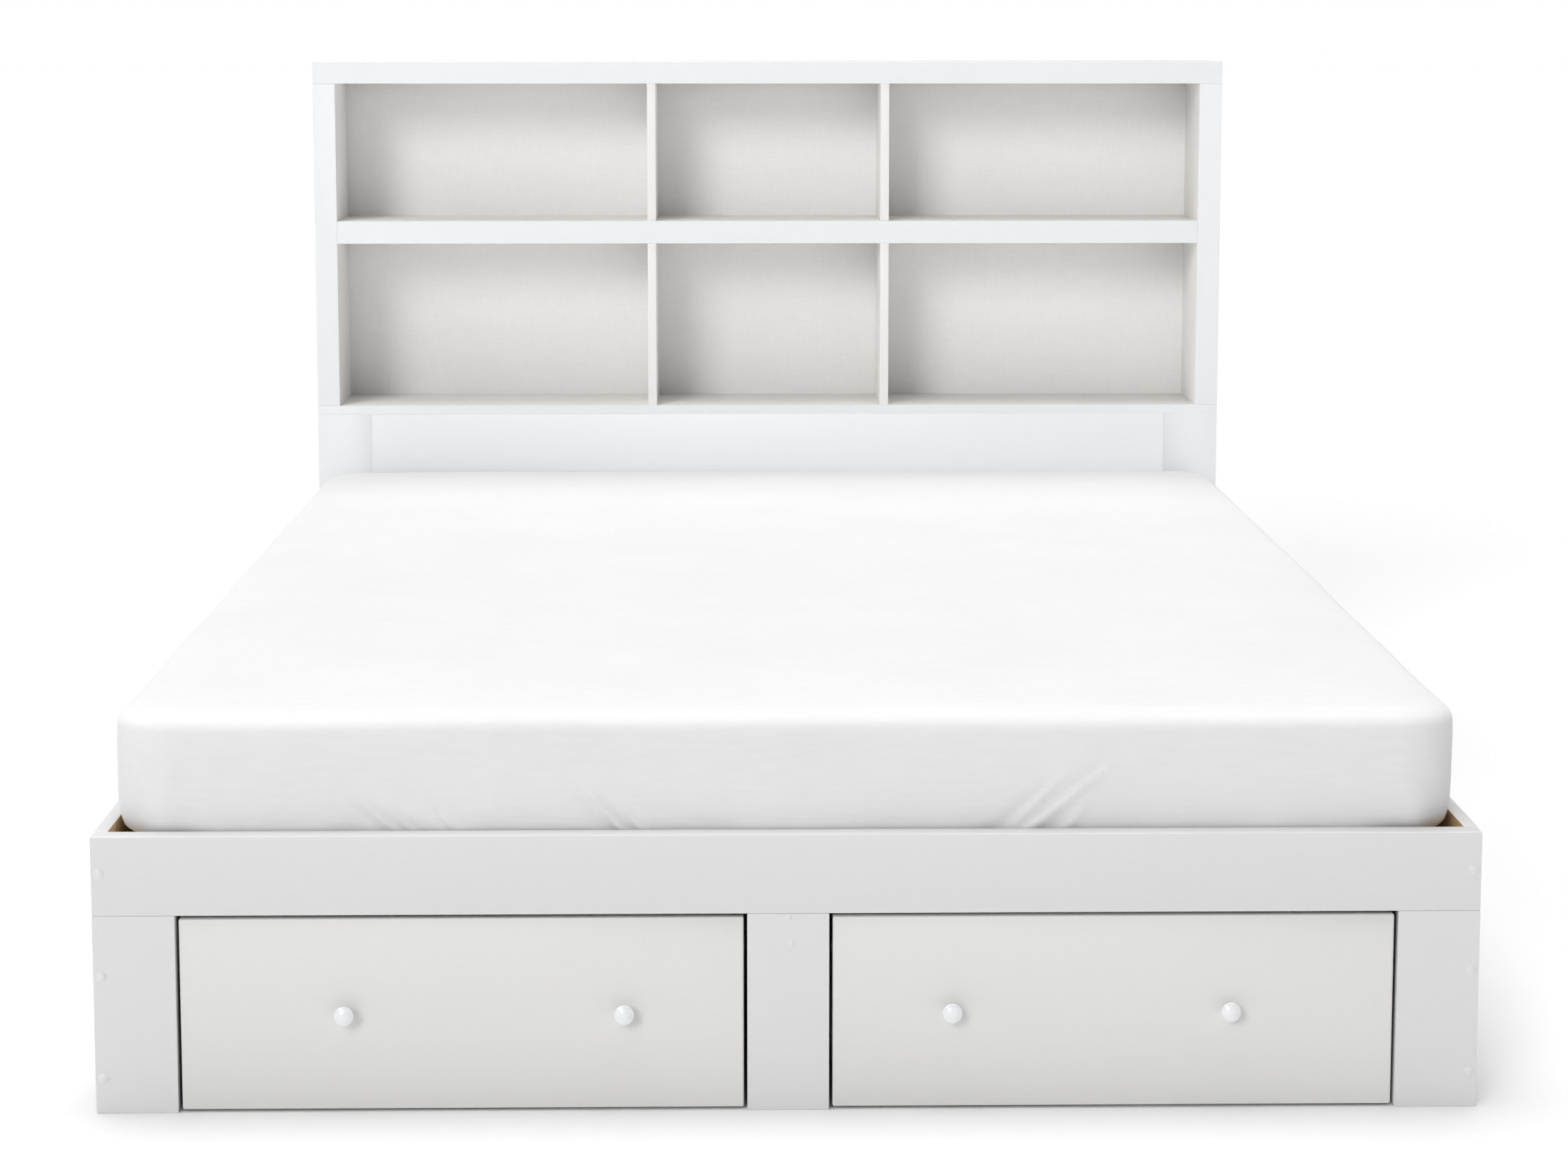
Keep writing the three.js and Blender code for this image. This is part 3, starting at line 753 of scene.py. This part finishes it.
class BedCover:
    """A skin over the mattress: a grid on its top, and rings from the top's edge down and under."""

    def __init__(self, corner_profile, straight_profile, inward, step, coarse):
        low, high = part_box("mattress")
        self.middle = np.array([(low.x + high.x) / 2, (low.y + high.y) / 2])
        self.top = high.z + CROWN
        half_x = (high.x - low.x) / 2 + SHEET_SIDE_BULGE - SHEET_INSET - inward
        half_y = (high.y - low.y) / 2 + SHEET_END_BULGE - SHEET_INSET - inward
        self.xs = side_steps(half_x, SHEET_CORNER, step, step, 0.1)
        self.ys = side_steps(half_y, SHEET_CORNER, coarse, step, 0.25)
        outline, normals = bed_outline(half_x, half_y, SHEET_CORNER, self.xs, self.ys)
        self.outline, self.normals = outline, normals
        self.columns, self.rows = len(self.xs), len(self.ys)
        self.profiles = corner_profile, straight_profile
        self.build_grid()
        self.build_rings()

    def build_grid(self):
        """Fills the outline with a grid whose edge points are the outline's own."""
        columns, rows = self.columns, self.rows
        bottom = self.outline[:columns]
        right = self.outline[columns - 1 : columns + rows - 1]
        top = self.outline[columns + rows - 2 : 2 * columns + rows - 2][::-1]
        left = np.concatenate([self.outline[2 * columns + rows - 3 :], self.outline[:1]])[::-1]
        u = ((self.xs - self.xs[0]) / (self.xs[-1] - self.xs[0]))[None, :, None]
        v = ((self.ys - self.ys[0]) / (self.ys[-1] - self.ys[0]))[:, None, None]
        across = (1 - v) * bottom[None] + v * top[None]
        upward = (1 - u) * left[:, None] + u * right[:, None]
        corners = (1 - u) * (1 - v) * bottom[0] + u * (1 - v) * bottom[-1]
        corners = corners + (1 - u) * v * top[0] + u * v * top[-1]
        self.grid = (across + upward - corners).reshape(-1, 2)
        index = np.arange(rows * columns).reshape(rows, columns)
        self.rim = np.concatenate([index[0], index[1:, -1], index[-1, -2::-1], index[-2:0:-1, 0]])
        quads = np.stack([index[:-1, :-1], index[:-1, 1:], index[1:, 1:], index[1:, :-1]], axis=-1)
        self.grid_faces = quads.reshape(-1, 4)

    def sink(self, local):
        """How far the crowned top lies below its middle, fading out down the sides."""
        gaps = np.array([self.xs[-1], self.ys[-1]]) - np.abs(local[:, :2])
        toward_edge = np.clip(1 - gaps.min(axis=1) / CROWN_REACH, 0, 1)
        return CROWN * toward_edge**2 * np.clip(1 + local[:, 2] / 0.045, 0, 1)

    def straightness(self):
        """0 round the corners of the outline, rising to 1 along its sides."""
        gaps = np.array([self.xs[-1], self.ys[-1]]) - np.abs(self.outline)
        from_corner = np.clip((gaps.max(axis=1) - SHEET_CORNER) / CORNER_LIFT_REACH, 0, 1)
        return from_corner * from_corner * (3 - 2 * from_corner)

    def build_rings(self):
        count, start = len(self.outline), len(self.grid)
        straight = self.straightness()[:, None]
        rings = []
        for at_corner, between in zip(self.profiles[0][1:], self.profiles[1][1:]):
            outward, down = ((1 - straight) * at_corner + straight * between).T
            down = down + CROWN * np.clip(down / SHEET_SHOULDER, 0, 1)
            rings.append(np.column_stack([self.outline + self.normals * outward[:, None], -down]))
        top = np.column_stack([self.grid, np.full(len(self.grid), -self.profiles[0][0][1])])
        points = np.concatenate([top, *rings])
        points[:, 2] -= self.sink(points)
        points[:, :2] += self.middle
        points[:, 2] += self.top
        self.points = points
        ids = [self.rim] + [start + np.arange(count) + count * ring for ring in range(len(rings))]
        faces = [self.grid_faces]
        for above, below in zip(ids, ids[1:]):
            faces.append(np.stack([above, below, np.roll(below, -1), np.roll(above, -1)], axis=-1))
        self.rings = ids
        self.faces = np.concatenate(faces)

    def mesh(self, name, closed=False):
        faces = [tuple(face) for face in self.faces.tolist()]
        points = self.points
        if closed:
            center = len(points)
            last = self.rings[-1].tolist()
            middle = [*self.middle, points[self.rings[-1], 2].mean()]
            points = np.vstack([points, middle])
            faces += [(after, before, center) for before, after in zip(last, last[1:] + last[:1])]
        mesh = bpy.data.meshes.new(name)
        mesh.from_pydata(points.tolist(), [], faces)
        mesh.update()
        smooth(mesh)
        return mesh


def point_normals(mesh):
    normals = np.zeros(len(mesh.vertices) * 3)
    mesh.vertices.foreach_get("normal", normals)
    return normals.reshape(-1, 3)


def pull_height(points, start, end, depth):
    """A diagonal pull: a ridge with a shallow valley beside it, fading at its upper end."""
    start, end = np.array(start), np.array(end)
    line = end - start
    length = np.linalg.norm(line)
    line /= length
    side = np.array([line[1], -line[0]])
    offset = points - start
    along = (offset @ line) / length
    across = offset @ side + 3 * MM * np.sin(along * 2.4)
    fade = np.sin(np.pi / 2 * np.clip(along / 0.5, 0, 1)) * np.clip((1.35 - along) / 0.35, 0, 1)
    width = (3.9 + 1.6 * np.clip(along, 0, 1)) * MM
    ridge = np.exp(-((across / width) ** 2))
    valley = np.exp(-(((across - 1.9 * width) / (1.3 * width)) ** 2))
    return depth * fade * (ridge - 0.75 * valley)


def sheet_relief(cover, points):
    """How far each point of the sheet lies out from its plain shape."""
    local = points - np.array([*cover.middle, cover.top])
    down = -local[:, 2]
    front = np.clip((cover.middle[1] - 0.95 - points[:, 1]) / 0.03, 0, 1)
    upper = np.clip(1 - down / 0.03, 0, 1)
    height = 1.1 * MM * ripples(points, 0.42, seed=3) * upper
    height += 1.3 * MM * ripples(points, 0.3, seed=4) * np.clip(down / 0.05, 0, 1)
    crease = ripples(points, 0.016, seed=5, count=24, stretch=(14, 1, 1))
    patches = np.clip(ripples(points, 0.2, seed=6) * 0.7 + 0.45, 0, 1)
    near_edge = np.exp(-(((local[:, 1] + 0.985) / 0.06) ** 2)) * np.clip(1 - down / 0.06, 0, 1)
    height += 0.30 * MM * crease * patches * near_edge
    fine = ripples(points, 0.028, seed=7, count=24, stretch=(5, 1, 1))
    height += 0.11 * MM * fine * np.clip(ripples(points, 0.35, seed=8) * 0.8 + 0.3, 0, 1) * upper
    low = np.clip((down - 0.1) / 0.05, 0, 1)
    gathers = ripples(points * np.array([1, 1, 0.15]), 0.045, seed=9, count=20)
    slack = np.clip(ripples(points, 0.28, seed=10) * 0.8 + 0.45, 0.1, 1)
    height += 1.0 * MM * gathers * low * slack
    corner = np.abs(local[:, 0]) + np.abs(local[:, 1])
    furthest = cover.xs[-1] + cover.ys[-1]
    at_corner = np.clip((corner - furthest) / 0.05, 0, 1) * np.clip((down - 0.03) / 0.09, 0, 1)
    past_x = np.abs(local[:, 0]) - cover.xs[-1] + 0.04
    past_y = np.abs(local[:, 1]) - cover.ys[-1] + 0.04
    turn = np.arctan2(past_y, past_x)
    height += 1.0 * MM * np.sin(turn * 13 + 4 * down / 0.1) * at_corner
    for start, end, depth in FRONT_PULLS:
        height += pull_height(points[:, [0, 2]], start, end, depth) * front
    tucked = np.clip((0.158 - down) / 0.012, 0.15, 1)
    return np.maximum(height * tucked, DEEPEST_DIP)


def make_bedding(cotton, cover_cloth, body):
    profile = smooth_curve(SHEET_PROFILE, SHEET_RINGS)
    straight = smooth_curve(STRAIGHT_PROFILE, SHEET_RINGS)
    cover = BedCover(profile, straight, 0, SHEET_FOLD_STEP, SHEET_STEP)
    plain = cover.mesh("plain_sheet")
    normals = point_normals(plain)
    bpy.data.meshes.remove(plain)
    cover.points = cover.points + normals * sheet_relief(cover, cover.points)[:, None]
    keep_in_well(cover.points)
    sheet = add_object("fitted_sheet", cover.mesh("fitted_sheet"), cotton, body)

    profiles = core_profile(SHEET_PROFILE), core_profile(STRAIGHT_PROFILE)
    core = BedCover(*profiles, CLOTH_GAP, CORE_FINE_STEP, CORE_STEP)
    core_mesh = core.mesh("mattress_core", closed=True)
    mattress = add_object("mattress_core", core_mesh, cover_cloth, body)
    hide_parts("mattress")

    ring = cover.points[cover.rings[-1]]
    hem = add_object("fitted_sheet_hem", hem_mesh(ring, cover.normals), cotton, body)


def keep_in_well(points):
    """Presses the cloth in wherever it would reach into the boards round it."""
    head_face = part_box("headboard_lower_panel")[0].y
    rail_back, rail_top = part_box("footboard_rail")[1].yz
    half_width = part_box("side_panel_right")[0].x - WELL_GAP
    low = points[:, 2] < rail_top + 2 * MM
    points[:, 1] = np.minimum(points[:, 1], head_face - WELL_GAP)
    points[low, 1] = np.maximum(points[low, 1], rail_back + WELL_GAP)
    points[low, 0] = np.clip(points[low, 0], -half_width, half_width)


def core_profile(profile):
    """The mattress's own profile, inside the cloth's and closed off underneath."""
    inner = [(outward, min(down + CLOTH_GAP, CORE_BOTTOM)) for outward, down in profile[:-2]]
    return smooth_curve(inner, CORE_RINGS)


def hem_mesh(ring, normals):
    """The gathered elastic hem: a soft round cord of cloth along the sheet's edge."""
    count = len(ring)
    inward = np.column_stack([-normals, np.zeros(count)])
    waves = ripples(ring, 0.016, seed=21, count=10)
    vertices = []
    for side in range(HEM_SIDES):
        angle = 2 * math.pi * side / HEM_SIDES
        across = math.cos(angle) * (HEM_HALF_WIDTH + 0.6 * MM * waves)
        lift = math.sin(angle) * HEM_HALF_HEIGHT * (1 + 0.2 * waves)
        place = ring + inward * (across + HEM_INSET)[:, None]
        place[:, 2] = ring[:, 2] + lift
        vertices.append(place)
    index = np.arange(HEM_SIDES * count).reshape(HEM_SIDES, count)
    beside, above = np.roll(index, -1, axis=1), np.roll(index, -1, axis=0)
    faces = np.stack([index, beside, np.roll(above, -1, axis=1), above], axis=-1)
    mesh = bpy.data.meshes.new("fitted_sheet_hem")
    mesh.from_pydata(np.concatenate(vertices).tolist(), [], faces.reshape(-1, 4).tolist())
    mesh.update()
    smooth(mesh)
    return mesh


# --- Slats, webbing and staples -------------------------------------------------------------

SLATS_PER_ROLL = 7
SLAT_WIDTH = 0.068
SLAT_THICKNESS = 0.018
SLAT_ROUNDING = 2.2 * MM
WEBBING_X = 0.48
WEBBING_WIDTH = 0.03
WEBBING_THICKNESS = 0.9 * MM
WEBBING_SAG = 2.6 * MM  # between two slats
STAPLE_ASIDE = 7 * MM  # from the webbing's middle
STAPLE_HALF = Vector((5 * MM, 0.6 * MM, 0.3 * MM))
STAPLE_ROUNDING = 0.25 * MM


def strap(x, ys, tops, width, thickness):
    """A flat strap along Y whose upper face follows the given heights."""
    random = np.random.default_rng(int(abs(x) * 1000) + int(abs(ys[0]) * 1000))
    sway = 0.8 * MM * np.cumsum(random.normal(size=len(ys))) / math.sqrt(len(ys))
    edge = thickness * 0.5
    section = [
        (-width / 2 + edge, 0),
        (width / 2 - edge, 0),
        (width / 2, -edge),
        (width / 2 - edge, -thickness),
        (-width / 2 + edge, -thickness),
        (-width / 2, -edge),
    ]
    vertices = [
        (x + sway[row] + across, y, tops[row] + lift)
        for row, y in enumerate(ys)
        for across, lift in section
    ]
    sides = len(section)
    faces = []
    for row in range(len(ys) - 1):
        for side in range(sides):
            after = (side + 1) % sides
            base, above = row * sides, (row + 1) * sides
            faces.append((base + side, base + after, above + after, above + side))
    faces.append(tuple(range(sides - 1, -1, -1)))
    faces.append(tuple(range((len(ys) - 1) * sides, len(ys) * sides)))
    return vertices, faces


def make_slats(pine, tape, steel, body):
    for place in ("foot", "head"):
        node = f"slat_roll_{place}"
        low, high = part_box(node)
        pitch = (high.y - low.y - SLAT_WIDTH) / (SLATS_PER_ROLL - 1)
        starts = [low.y + pitch * index for index in range(SLATS_PER_ROLL)]
        top = low.z + SLAT_THICKNESS
        boxes = [
            rounded_box((low.x, y, low.z), (high.x, y + SLAT_WIDTH, top), SLAT_ROUNDING, segments=3)
            for y in starts
        ]
        mesh = mesh_from_parts(f"slats_{place}", boxes)
        slats = add_object(f"slats_{place}", mesh, pine, body)
        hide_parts(node)

        ys, tops = [], []
        webbing_top = top + WEBBING_THICKNESS
        for y in starts:
            ys += [y, y + 0.5 * SLAT_WIDTH, y + SLAT_WIDTH]
            tops += [webbing_top] * 3
            if y is not starts[-1]:
                gap = pitch - SLAT_WIDTH
                for share in (0.12, 0.3, 0.5, 0.7, 0.88):
                    ys.append(y + SLAT_WIDTH + gap * share)
                    tops.append(webbing_top - WEBBING_SAG * math.sin(math.pi * share) ** 0.8)
        both = (-WEBBING_X, WEBBING_X)
        straps = [strap(x, ys, tops, WEBBING_WIDTH, WEBBING_THICKNESS) for x in both]
        mesh = mesh_from_parts(f"webbing_{place}", straps)
        webbing = add_object(f"webbing_{place}", mesh, tape, body)

        staples = []
        for y in starts:
            for x in both:
                for aside in (-STAPLE_ASIDE, STAPLE_ASIDE):
                    middle = Vector((x + aside, y + SLAT_WIDTH / 2, webbing_top))
                    corners = middle - STAPLE_HALF, middle + STAPLE_HALF
                    staples.append(rounded_box(*corners, STAPLE_ROUNDING))
        mesh = mesh_from_parts(f"staples_{place}", staples)
        stapled = add_object(f"staples_{place}", mesh, steel, body)


# --- Caps, nails, screws and casters --------------------------------------------------------

SIDE_CAP_INSET = 9 * MM  # from the bed's side
SIDE_CAP_HEIGHTS = (0.281, 0.162, 0.042)
SIDE_CAP_RADIUS = 6.3 * MM
BEAM_CAP_PLACES = ((0.0, 0.228), (3.5 * MM, 0.197))  # x and height
BEAM_CAP_RADIUS = 3.9 * MM
BOX_CAP_RADIUS = 3.5 * MM
CASTER_SCREW_RADIUS = 2.9 * MM
AXLE_BORE = 3.3 * MM  # radius of a wheel's hole


def cover_cap(place, direction, radius):
    """A thin stuck-on cover cap with a rounded rim."""
    proud = 0.55 * MM
    rim = [(radius, -0.1 * MM), (radius, proud * 0.4), (radius - 0.3 * MM, proud)]
    profile = [*rim, (0, proud + 0.05 * MM)]
    return turned(profile, place, direction, 32)


def make_caps(foil, body):
    low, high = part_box("footboard_rail")
    caps = []
    for side in (-1, 1):
        x = side * (high.x - SIDE_CAP_INSET)
        for z in SIDE_CAP_HEIGHTS:
            caps.append(cover_cap((x, low.y, z), (0, -1, 0), SIDE_CAP_RADIUS))
    for x, z in BEAM_CAP_PLACES:
        caps.append(cover_cap((x, low.y, z), (0, -1, 0), BEAM_CAP_RADIUS))
    mesh = mesh_from_parts("cover_caps", caps)
    smooth(mesh)
    piece = add_object("cover_caps", mesh, foil, body)


def nail(place, direction):
    profile = [(2.0 * MM, -0.1 * MM), (2.0 * MM, 0.25 * MM), (1.5 * MM, 0.6 * MM), (0, 0.75 * MM)]
    return turned(profile, place, direction, 16)


def screw(place, direction, radius):
    """A pan-head screw with a dished cross recess."""
    rise = radius * 0.55
    profile = [
        (radius, -0.1 * MM),
        (radius, rise * 0.35),
        (radius * 0.86, rise * 0.8),
        (radius * 0.5, rise),
        (radius * 0.36, rise),
        (radius * 0.12, rise * 0.2),
        (0, rise * 0.15),
    ]
    return turned(profile, place, direction, 16)


def make_back_nails(steel, body):
    low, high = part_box("bookcase_back")
    edge = 12 * MM
    nails = []
    for x in np.linspace(low.x + edge, high.x - edge, 13):
        for z in (low.z + edge, high.z - edge):
            nails.append(nail((x, high.y, z), (0, 1, 0)))
    for z in np.linspace(low.z + edge, high.z - edge, 7)[1:-1]:
        for x in (low.x + edge, high.x - edge):
            nails.append(nail((x, high.y, z), (0, 1, 0)))
    shelf_low, shelf_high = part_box("bookcase_shelf")
    for x in np.linspace(low.x + 0.12, high.x - 0.12, 9):
        nails.append(nail((x, high.y, (shelf_low.z + shelf_high.z) / 2), (0, 1, 0)))
    mesh = mesh_from_parts("back_nails", nails)
    smooth(mesh)
    add_object("back_nails", mesh, steel, body)


def make_drawer_fittings(side, steel, cap_foil):
    """Caps over the screws through the box sides, and the casters' own screws."""
    drawer = f"drawer_{side}"
    parts = []
    for place, outward in (("inner", -1), ("outer", 1)):
        low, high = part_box(f"{drawer}_side_{place}")
        outside = outward if side == "right" else -outward
        x = high.x if outside > 0 else low.x
        for y in (low.y + 12 * MM, high.y - 6.5 * MM):
            for z in (low.z + 0.035, high.z - 0.035):
                parts.append(cover_cap((x, y, z), (outside, 0, 0), BOX_CAP_RADIUS))
    mesh = mesh_from_parts(f"{drawer}_side_caps", parts)
    smooth(mesh)
    add_object(f"{drawer}_side_caps", mesh, cap_foil, drawer)

    screws = []
    for row in ("front", "rear"):
        for column in ("inner", "outer"):
            low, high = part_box(f"{drawer}_caster_bracket_{row}_{column}")
            plate_bottom = high.z - 2 * MM
            for x in (low.x + 5 * MM, high.x - 5 * MM):
                for y in (low.y + 6 * MM, high.y - 6 * MM):
                    place = (x, y, plate_bottom)
                    screws.append(screw(place, (0, 0, -1), CASTER_SCREW_RADIUS))
    mesh = mesh_from_parts(f"{drawer}_caster_screws", screws)
    smooth(mesh)
    add_object(f"{drawer}_caster_screws", mesh, steel, drawer)


def make_wheels(rubber):
    for node in [name for name in NODES if "_wheel_" in name]:
        low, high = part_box(node)
        middle = (low + high) / 2
        half = (high.x - low.x) / 2
        radius = (high.z - low.z) / 2
        right = [
            (AXLE_BORE, half - 0.6 * MM),
            (AXLE_BORE + 0.6 * MM, half),
            (8.3 * MM, half),
            (9.0 * MM, half - 0.6 * MM),
            (9.3 * MM, half - 1.9 * MM),
            (12.3 * MM, half - 2.1 * MM),
            (12.8 * MM, half - 1.5 * MM),
            (13.4 * MM, half - 2.1 * MM),
            (15.6 * MM, half - 1.9 * MM),
            (16.1 * MM, half - 1.2 * MM),
            (16.7 * MM, half - 0.9 * MM),
            (18.2 * MM, half - 1.1 * MM),
            (19.3 * MM, half - 2.1 * MM),
            (19.9 * MM, half - 3.9 * MM),
            (radius, half - 6.2 * MM),
        ]
        left = [(r, -along) for r, along in right[::-1]]
        profile = right + left + [right[0]]
        mesh = mesh_from_parts(f"{node}_moulded", [turned(profile, middle, (1, 0, 0), 64)])
        smooth(mesh)
        wheel = add_object(f"{node}_moulded", mesh, rubber, f"{node}_body")
        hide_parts(node)


def finish_steel(steel):
    for node in NODES:
        if "_caster_bracket_" in node:
            set_material(node, steel)
            round_edges(node, 0.35 * MM, 2)


# --- The whole bed --------------------------------------------------------------------------

make_camera()
make_surroundings()
make_lights()
make_floor()
finish_boards()

KNOB_GLOSS = moulded_plastic("knob_gloss", (0.79, 0.8, 0.815), 0.2, coat=0.5)
CAP_FOIL = moulded_plastic("cap_foil", (0.7, 0.715, 0.715), 0.4)
BOX_CAP_FOIL = moulded_plastic("box_cap_foil", (0.76, 0.75, 0.72), 0.45)
WHEEL_PLASTIC = moulded_plastic("wheel_plastic", (0.055, 0.056, 0.06), 0.42)
STEEL = zinc_steel("zinc_steel")
PINE_ALONG_X = pine_wood("pine_along_x", 0)
WEBBING = woven_tape("webbing_tape")

make_knobs(KNOB_GLOSS)
make_bedding(cotton_sheet("white_percale"), ticking("mattress_ticking"), "bed")
make_slats(PINE_ALONG_X, WEBBING, STEEL, "bed")
make_caps(CAP_FOIL, "bed")
make_back_nails(STEEL, "bed")
for side in ("left", "right"):
    make_drawer_fittings(side, STEEL, BOX_CAP_FOIL)
make_wheels(WHEEL_PLASTIC)
finish_steel(STEEL)
